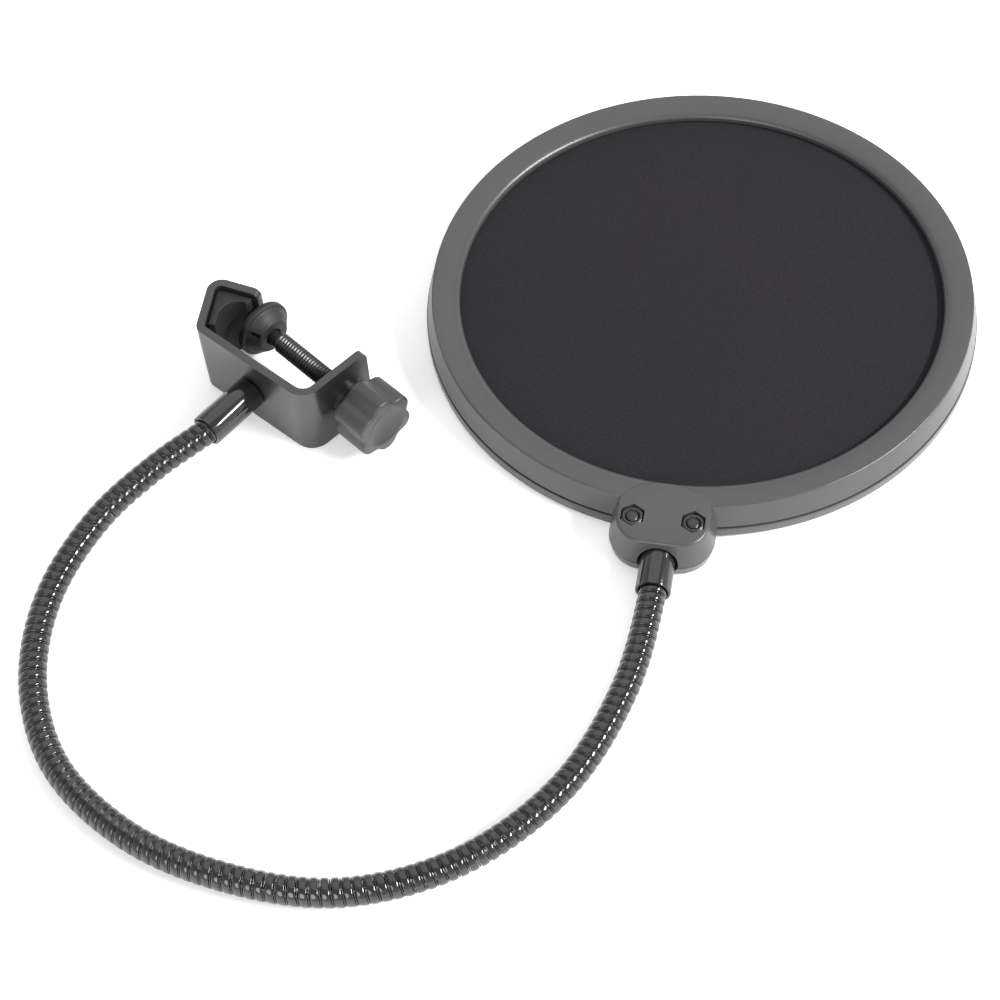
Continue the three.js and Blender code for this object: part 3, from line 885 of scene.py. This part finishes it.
class POPFILTER_OT_ferrules(bpy.types.Operator):
    """Make the sleeves on the gooseneck's ends, and the screw that holds the clamp's one"""

    bl_idname = "mesh.pop_filter_ferrules"
    bl_label = "Ferrules"

    def execute(self, context):
        profile = [
            (0, -86.9), (3.9, -86.9), (3.9, -98.6), (4.0, -98.86), (4.3, -98.9), (4.57, -98.8),
            (4.65, -98.55), (4.65, -84.8), (3.6, -84.8), (3.6, -82.7), (4.65, -82.7), (4.65, -79.4),
            (4.45, -79.1), (0, -79.1),
        ]
        sleeve = spun("hoop_sleeve", profile, 64)
        settled(sleeve, HOOP @ Matrix.Translation((0, 0, NECK_Z * MM)) @ ALONG_Y)
        finished(sleeve, gloss_metal(), "gloss_black_metal", "hoop", "hoop_ferrule")
        place = CLAMP @ Matrix.Translation([v * MM for v in FERRULE_PLACE]) @ ALONG_Y
        profile = [
            (0, -9), (3.9, -9), (3.9, -17.7), (4.0, -17.96), (4.3, -18), (4.57, -17.9),
            (4.65, -17.65), (4.65, -0.9), (4.55, -0.5), (4.25, -0.3), (2.3, -0.3),
            (2.3, -6.3), (0, -6.3),
        ]
        sleeve = settled(spun("clamp_sleeve", profile, 64), place)
        finished(sleeve, gloss_metal(), "gloss_black_metal", "clamp", "clamp_ferrule")
        profile = [
            (0, -5.9), (1.6, -5.9), (2, -5.4), (2, 2.6), (3.6, 2.6), (3.6, 3.3), (3.4, 3.8),
            (2.8, 4.2), (1.8, 4.38), (0, 4.4),
        ]
        screw = spun("sleeve_screw", profile, 48)
        combined(screw, "DIFFERENCE", *cross_slots(3.3, 4.7, 3.8, Matrix.Identity(4)))
        settled(screw, place)
        finished(screw, black_steel(), "black_steel", "clamp", "ferrule_screw")
        return {"FINISHED"}


# ---- Gooseneck ----


WIRE_STEPS = 28
EXTRA_TURNS = 2  # Turns that run on into each ferrule.
LINE_STEPS = 40


def neck_line():
    """Close points along the neck's smooth middle line, in metres."""
    given = [Vector(p) * MM for p in NECK_POINTS]
    given = [2 * given[0] - given[1], *given, 2 * given[-1] - given[-2]]
    line = []
    for a, b, c, d in zip(given, given[1:], given[2:], given[3:]):
        before, here, after = (math.sqrt((q - p).length) for p, q in ((a, b), (b, c), (c, d)))
        leave_b = ((b - a) / before - (c - a) / (before + here) + (c - b) / here) * here
        reach_c = ((c - b) / here - (d - b) / (here + after) + (d - c) / after) * here
        for i in range(LINE_STEPS):
            t = i / LINE_STEPS
            line.append(
                b * (2 * t**3 - 3 * t**2 + 1)
                + leave_b * (t**3 - 2 * t**2 + t)
                + c * (3 * t**2 - 2 * t**3)
                + reach_c * (t**3 - t**2)
            )
    line.append(given[-2])
    return line


def along(line, distance):
    """The point at a distance along a line."""
    for a, b in zip(line, line[1:]):
        step = (b - a).length
        if distance <= step:
            return a.lerp(b, distance / step)
        distance -= step
    return line[-1]


def wound_wire(name, section, pitch, turns, steps):
    """A wire of a given closed section wound round Z from height 0."""
    piece = drawn(name, [(radius, 0, height) for height, radius in section])
    edit(piece)
    bpy.ops.mesh.select_all(action="SELECT")
    bpy.ops.mesh.remove_doubles(threshold=0.001 * MM)
    leave()
    modified(
        piece,
        "SCREW",
        axis="Z",
        angle=2 * math.pi,
        screw_offset=pitch,
        iterations=turns,
        steps=steps,
        render_steps=steps,
        use_normal_calculate=False,
        use_smooth_shade=True,
    )
    edit(piece)
    bpy.ops.mesh.select_all(action="SELECT")
    bpy.ops.mesh.remove_doubles(threshold=0.001 * MM)
    bpy.ops.mesh.fill_holes(sides=0)
    bpy.ops.mesh.select_all(action="SELECT")
    bpy.ops.mesh.normals_make_consistent(inside=False)
    leave()
    return piece


class POPFILTER_OT_gooseneck(bpy.types.Operator):
    """Make the wound gooseneck, one section for each of its hinges"""

    bl_idname = "mesh.pop_filter_gooseneck"
    bl_label = "Gooseneck"

    def execute(self, context):
        settings = context.scene.pop_filter_neck
        line = neck_line()
        length = sum((b - a).length for a, b in zip(line, line[1:]))
        stub = (Vector(NECK_POINTS[1]) - Vector(NECK_POINTS[0])).length * MM
        last_stub = (Vector(NECK_POINTS[-1]) - Vector(NECK_POINTS[-2])).length * MM
        section = (length - stub - last_stub) / NECK_SECTIONS
        pitch = section / settings.turns

        curve = bpy.data.curves.new("neck_line", "CURVE")
        curve.dimensions = "3D"
        spline = curve.splines.new("POLY")
        spline.points.add(len(line) - 1)
        for point, place in zip(spline.points, line):
            point.co = (*place, 1)
        guide = bpy.data.objects.new("neck_line", curve)
        context.scene.collection.objects.link(guide)

        band = [
            (0.0, 3.15), (0.03, 3.44), (0.16, 3.58), (0.5, 3.655), (1.03, 3.68), (1.56, 3.655),
            (1.9, 3.58), (2.03, 3.44), (2.06, 3.15), (1.6, 2.5), (0.4, 2.5), (0.0, 3.15),
        ]
        ridge = [
            (2.15, 3.15), (2.18, 3.38), (2.27, 3.46), (2.43, 3.46), (2.52, 3.38), (2.55, 3.15),
            (2.35, 2.75), (2.15, 3.15),
        ]
        for k in range(1, NECK_SECTIONS + 1):
            before = EXTRA_TURNS if k == 1 else 0
            after = EXTRA_TURNS if k == NECK_SECTIONS else 0
            turns = settings.turns + before + after
            start = stub + (k - 1) * section - before * pitch
            wires = [
                wound_wire("band", band, pitch, turns, WIRE_STEPS),
                wound_wire("ridge", ridge, pitch, turns, WIRE_STEPS),
            ]
            alone(wires[0])
            wires[1].select_set(True)
            bpy.ops.object.join()
            piece = bpy.context.object
            piece.name = f"neck_section_{k:02d}"
            settled(piece, Matrix.Translation((start, 0, 0)) @ ALONG_X)
            modified(piece, "CURVE", object=guide, deform_axis="POS_X")
            nodes = [f"neck_link_{k - 1:02d}"]
            if k == NECK_SECTIONS:
                nodes.append(f"neck_link_{k:02d}")
            finished(piece, gloss_metal(), "gloss_black_metal", None, *nodes, smooth=50)
            hinge = stub + (k - 0.5) * section
            along(line, hinge - settings.bend)
            along(line, hinge + settings.bend)
            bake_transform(piece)
        bpy.data.objects.remove(guide)
        return {"FINISHED"}


# ---- Clamp ----

FOOT_WINDOW_TURN = -126
FOOT_NUB_TURN = 20
THREAD_PITCH = 1.0
THREAD_TURNS = 38
KNOB_R = 8.85
KNOB_LOW = 3.9
KNOB_TOP = 15
DISH_R = 12
DISH_HEIGHT = KNOB_TOP + 10.15

def strip_outline(path, thick, outer, inner, gap=0.0):
    """The outline of a bent strip, its outer side on a path."""
    far = inset_path(path, thick + gap)
    near = inset_path(path, gap) if gap else path
    return rounded_path(near, outer) + rounded_path(far[::-1], inner[::-1])


class POPFILTER_OT_bracket(bpy.types.Operator):
    """Make the clamp's bent steel strip"""

    bl_idname = "mesh.pop_filter_bracket"
    bl_label = "Bracket"

    def execute(self, context):
        path = [HOOK_TIP, HOOK_CORNER, BACK_CORNER, PLATE_CORNER, PLATE_END]
        outline = strip_outline(path, STRIP_THICK, [4, 3.5, 5.7], [1.7, 1.2, 3.4])
        piece = prism("bracket_strip", outline, 0, STRIP_WIDTH)
        for end, radius in ((HOOK_TIP, 2.2), (PLATE_END, 2)):
            tip = Vector((*end, 0)) * MM

            def short_edge(edge, tip=tip):
                a, b = (v.co for v in edge.verts)
                level = abs(a.z - b.z) < 0.1 * MM
                reach = 1.1 * STRIP_THICK * MM
                return level and all((v.xy - tip.xy).length < reach for v in (a, b))

            edit(piece)
            pick(piece, "EDGE", short_edge)
            bpy.ops.mesh.bevel(offset=radius * MM, segments=8, affect="EDGES")
            leave()
        collar = settled(rod("collar", 5, -1, 1.6, 40), CLAMP.inverted() @ SCREW @ ALONG_X)
        combined(piece, "UNION", collar)
        combined(
            piece,
            "DIFFERENCE",
            settled(rod("hole", 3.2, -10, 10, 40), CLAMP.inverted() @ SCREW @ ALONG_X),
            settled(
                rod("hole", 2.3, -5, 5, 32),
                Matrix.Translation([v * MM for v in FERRULE_PLACE]) @ ALONG_Y,
            ),
        )
        softened(piece, context.scene.pop_filter_clamp.edge / MM, 3, 40)
        settled(piece, CLAMP)
        finished(piece, satin_paint(), "satin_black_paint", "clamp", "clamp_bracket", smooth=30)
        return {"FINISHED"}


class POPFILTER_OT_jaw_pad(bpy.types.Operator):
    """Make the rubber liner of the clamp's V-shaped hook"""

    bl_idname = "mesh.pop_filter_jaw_pad"
    bl_label = "Jaw pad"

    def execute(self, context):
        inner = inset_path([HOOK_TIP, HOOK_CORNER, BACK_CORNER], STRIP_THICK + 0.3)
        corner = Vector(inner[1])
        start = corner.lerp(Vector(inner[0]), 0.86)
        end = corner.lerp(Vector(inner[2]), 0.8)
        legs = [tuple(start), tuple(corner), tuple(end)]
        outer = rounded_path(legs, [1.4], 8)
        face = rounded_path(inset_path(legs, 2)[::-1], [5.2], 14)
        crease = Vector(face[-1]).lerp(Vector(face[-2]), 0.52)
        run = (Vector(face[-1]) - Vector(face[-2])).normalized()
        notch = [
            tuple(crease - run * 0.28),
            tuple(crease + Vector((-run.y, run.x)) * -0.55),
            tuple(crease + run * 0.28),
        ]
        piece = prism("jaw_liner", outer + face[:-1] + notch + face[-1:], 1.5, STRIP_WIDTH - 1.5)
        softened(piece, 0.3, 3, 50)
        settled(piece, CLAMP)
        finished(piece, rubber(), "rubber", "clamp", "jaw_pad", smooth=40)
        return {"FINISHED"}


class POPFILTER_OT_thumb_screw(bpy.types.Operator):
    """Make the clamp's threaded rod"""

    bl_idname = "mesh.pop_filter_thumb_screw"
    bl_label = "Thumb screw"

    def execute(self, context):
        core = [
            (0, -35), (2.6, -35), (2.8, -34.8), (2.8, -33.7), (2.6, -33.6), (2.1, -33.6),
            (2.1, -28.9), (2.35, -28.5), (2.42, -28.1), (2.42, 12), (0, 12),
        ]
        piece = spun("thumb_screw_rod", core, 40)
        flank = [
            (0.0, 2.3), (0.12, 2.42), (0.42, 2.84), (0.5, 2.88), (0.58, 2.84), (0.88, 2.42),
            (1.0, 2.3),
        ]
        section = [*flank, (0.5, 1.9), (0.0, 2.3)]
        thread = wound_wire("thread", section, THREAD_PITCH * MM, THREAD_TURNS, 32)
        settled(thread, Matrix.Translation((0, 0, -28.4 * MM)))
        alone(piece)
        thread.select_set(True)
        bpy.ops.object.join()
        settled(piece, SCREW @ ALONG_X)
        finished(piece, black_steel(), "black_steel", "screw", "thumb_screw", smooth=50)
        return {"FINISHED"}


class POPFILTER_OT_pressure_foot(bpy.types.Operator):
    """Make the rubber foot on the clamp screw's end"""

    bl_idname = "mesh.pop_filter_pressure_foot"
    bl_label = "Pressure foot"

    def execute(self, context):
        profile = [
            (0, -36.1), (6.3, -36.1), (6.9, -36.35), (7.3, -36.5), (7.9, -36.5), (8.15, -36.4),
            (8.3, -36.15), (8.3, -34.9), (8.2, -34.65), (7.95, -34.5), (7.6, -34.45), (7.35, -34.3),
            (7.1, -33.85), (6.6, -33.0), (6.0, -32.35), (5.5, -31.95), (5.25, -31.55),
            (5.05, -31.15), (4.7, -30.95), (2.7, -30.9), (2.45, -31.1), (2.4, -31.4), (2.4, -33.3),
            (3.1, -33.3), (3.1, -35.3), (0, -35.3),
        ]
        piece = spun("rubber_foot", profile, 72)
        window = prism("window", [(-1.2, -0.7), (1.2, -0.7), (1.2, 0.7), (-1.2, 0.7)], 4.4, 7.5)
        lean = Matrix.Rotation(math.radians(FOOT_WINDOW_TURN), 4, "Z") @ ALONG_X
        settled(window, Matrix.Translation((0, 0, -32.6 * MM)) @ lean)
        combined(piece, "DIFFERENCE", window)
        nub = rod("nub", 0.55, 7.6, 8.75, 16)
        lean = Matrix.Rotation(math.radians(FOOT_NUB_TURN), 4, "Z") @ ALONG_X
        settled(nub, Matrix.Translation((0, 0, -35.2 * MM)) @ lean)
        combined(piece, "UNION", softened(nub, 0.25))
        settled(piece, SCREW @ ALONG_X)
        finished(piece, rubber(), "rubber", "foot", "pressure_foot", smooth=40)
        return {"FINISHED"}


class POPFILTER_OT_knob(bpy.types.Operator):
    """Make the six-lobed knob"""

    bl_idname = "mesh.pop_filter_knob"
    bl_label = "Knob"

    def execute(self, context):
        outline = []
        steps = 144
        for i in range(steps):
            angle = 2 * math.pi * i / steps
            wave = math.cos(6 * angle)
            radius = KNOB_R + 0.78 * wave - 0.13 * math.cos(12 * angle)
            outline.append((radius * math.cos(angle), radius * math.sin(angle)))
        piece = prism("lobed_knob", outline, KNOB_LOW, KNOB_TOP)
        softened(piece, 0.75, 4, 60)
        hub = spun("hub", [(0, 2.3), (5.7, 2.3), (6, 2.6), (6, 5), (0, 5)], 48)
        combined(piece, "UNION", hub)
        bpy.ops.object.select_all(action="DESELECT")
        bpy.ops.mesh.primitive_uv_sphere_add(segments=96, ring_count=64, radius=DISH_R * MM)
        dish = settled(bpy.context.object, Matrix.Translation((0, 0, DISH_HEIGHT * MM)))
        combined(piece, "DIFFERENCE", dish, rod("bore", 3.2, 0, 12.3, 40))
        bpy.ops.object.select_all(action="DESELECT")
        bpy.ops.mesh.primitive_uv_sphere_add(segments=24, ring_count=12, radius=0.7 * MM)
        dimple = bpy.context.object
        settled(dimple, Matrix.Translation((0, 8.65 * MM, 10 * MM)))
        combined(piece, "DIFFERENCE", dimple)
        settled(piece, SCREW @ ALONG_X)
        finished(piece, knob_plastic(), "knob_plastic", "screw", "knob", smooth=28)
        return {"FINISHED"}


# ---- Stage ----

KEY_TOWARDS = (0.68, 0.35, 0.645)
KEY_DISTANCE = 1.6
CAMERA_PLACE = (0.23416, -0.24764, 0.4609)
CAMERA_ANGLES = (54.78, -4.385, 43.7)  # Down from level, rolled, and turned about Z.
CAMERA_LENS = 75.6

class POPFILTER_OT_stage(bpy.types.Operator):
    """Make the floor, the light and the camera"""

    bl_idname = "mesh.pop_filter_stage"
    bl_label = "Stage"

    def execute(self, context):
        settings = context.scene.pop_filter_stage
        bpy.ops.object.select_all(action="DESELECT")
        bpy.ops.mesh.primitive_plane_add(size=6, location=(0, 0, -0.0002))
        floor = bpy.context.object
        floor.name = "floor"
        material = bpy.data.materials.new("White floor")
        material.use_nodes = True
        shader = material.node_tree.nodes["Principled BSDF"]
        shader.inputs["Base Color"].default_value = (*settings.floor_colour, 1)
        shader.inputs["Roughness"].default_value = 0.8
        shader.inputs["Specular IOR Level"].default_value = 0.2
        shader.inputs["Emission Color"].default_value = (1, 1, 1, 1)
        shader.inputs["Emission Strength"].default_value = 0.25
        floor.data.materials.append(material)

        world = bpy.data.worlds.new("White surround")
        world.use_nodes = True
        tree = world.node_tree
        way = add(tree, "ShaderNodeTexCoord").outputs["Generated"]
        height = add(tree, "ShaderNodeSeparateXYZ", {"Vector": way}).outputs["Z"]
        strength = ranged(tree, height, 0.1, 0.8, settings.surround, settings.surround * 0.4)
        surround = tree.nodes["Background"]
        surround.inputs["Color"].default_value = (1, 1, 1, 1)
        tree.links.new(strength, surround.inputs["Strength"])
        context.scene.world = world

        towards = Vector(KEY_TOWARDS).normalized()
        bpy.ops.object.light_add(type="AREA", location=towards * KEY_DISTANCE)
        key = bpy.context.object
        key.name = "key_light"
        key.data.energy = settings.key_power
        key.data.shape = "RECTANGLE"
        key.data.size = 0.9
        key.data.size_y = 0.16
        key.rotation_euler = towards.to_track_quat("Z", "Y").to_euler()
        for name, place, share, size in (
            ("overhead_light", (-0.5, 0.6, 1.7), 0.25, 2.2),
            ("front_light", (0.45, -1.3, 0.8), 0.22, 0.9),
        ):
            bpy.ops.object.light_add(type="AREA", location=place)
            fill = bpy.context.object
            fill.name = name
            fill.data.energy = settings.key_power * share
            fill.data.shape = "DISK"
            fill.data.size = size
            fill.rotation_euler = Vector(place).to_track_quat("Z", "Y").to_euler()

        pitch, roll, turn = (math.radians(a) for a in CAMERA_ANGLES)
        forward = Vector((0, math.cos(pitch), -math.sin(pitch)))
        up = Vector((0, math.sin(pitch), math.cos(pitch)))
        right = Vector((1, 0, 0))
        rolled_right = right * math.cos(roll) + up * math.sin(roll)
        rolled_up = up * math.cos(roll) - right * math.sin(roll)
        axes = Matrix((rolled_right, rolled_up, -forward)).transposed().to_4x4()
        data = bpy.data.cameras.new("camera")
        data.lens = CAMERA_LENS
        data.sensor_width = 36
        data.clip_end = 20
        camera = bpy.data.objects.new("camera", data)
        context.scene.collection.objects.link(camera)
        place = Matrix.Translation(CAMERA_PLACE)
        camera.matrix_world = place @ Matrix.Rotation(turn, 4, "Z") @ axes
        context.scene.camera = camera
        context.scene.view_settings.view_transform = "Standard"
        return {"FINISHED"}


# ---- Add-on ----

OPERATORS = (
    POPFILTER_OT_front_rim,
    POPFILTER_OT_back_rim,
    POPFILTER_OT_screens,
    POPFILTER_OT_tab_fasteners,
    POPFILTER_OT_ferrules,
    POPFILTER_OT_gooseneck,
    POPFILTER_OT_bracket,
    POPFILTER_OT_jaw_pad,
    POPFILTER_OT_thumb_screw,
    POPFILTER_OT_pressure_foot,
    POPFILTER_OT_knob,
    POPFILTER_OT_stage,
)
SETTINGS = {
    "pop_filter_hoop": HoopSettings,
    "pop_filter_neck": NeckSettings,
    "pop_filter_clamp": ClampSettings,
    "pop_filter_stage": StageSettings,
}


class POPFILTER_PT_panel(bpy.types.Panel):
    """Lists the pop filter's pieces and settings"""

    bl_label = "Pop Filter"
    bl_idname = "POPFILTER_PT_panel"
    bl_space_type = "VIEW_3D"
    bl_region_type = "UI"
    bl_category = "Pop Filter"

    def draw(self, context):
        for name, group in SETTINGS.items():
            box = self.layout.box()
            box.label(text=name.rsplit("_", 1)[-1].title())
            for prop in group.__annotations__:
                box.prop(getattr(context.scene, name), prop)
        for operator in OPERATORS:
            self.layout.operator(operator.bl_idname)


def register():
    for cls in (*SETTINGS.values(), *OPERATORS, POPFILTER_PT_panel):
        bpy.utils.register_class(cls)
    for name, group in SETTINGS.items():
        setattr(bpy.types.Scene, name, PointerProperty(type=group))


def unregister():
    for name in SETTINGS:
        delattr(bpy.types.Scene, name)
    for cls in reversed((*SETTINGS.values(), *OPERATORS, POPFILTER_PT_panel)):
        bpy.utils.unregister_class(cls)


def main():
    register()
    for operator in OPERATORS:
        area, name = operator.bl_idname.split(".")
        getattr(getattr(bpy.ops, area), name)()


if __name__ == "__main__":
    main()
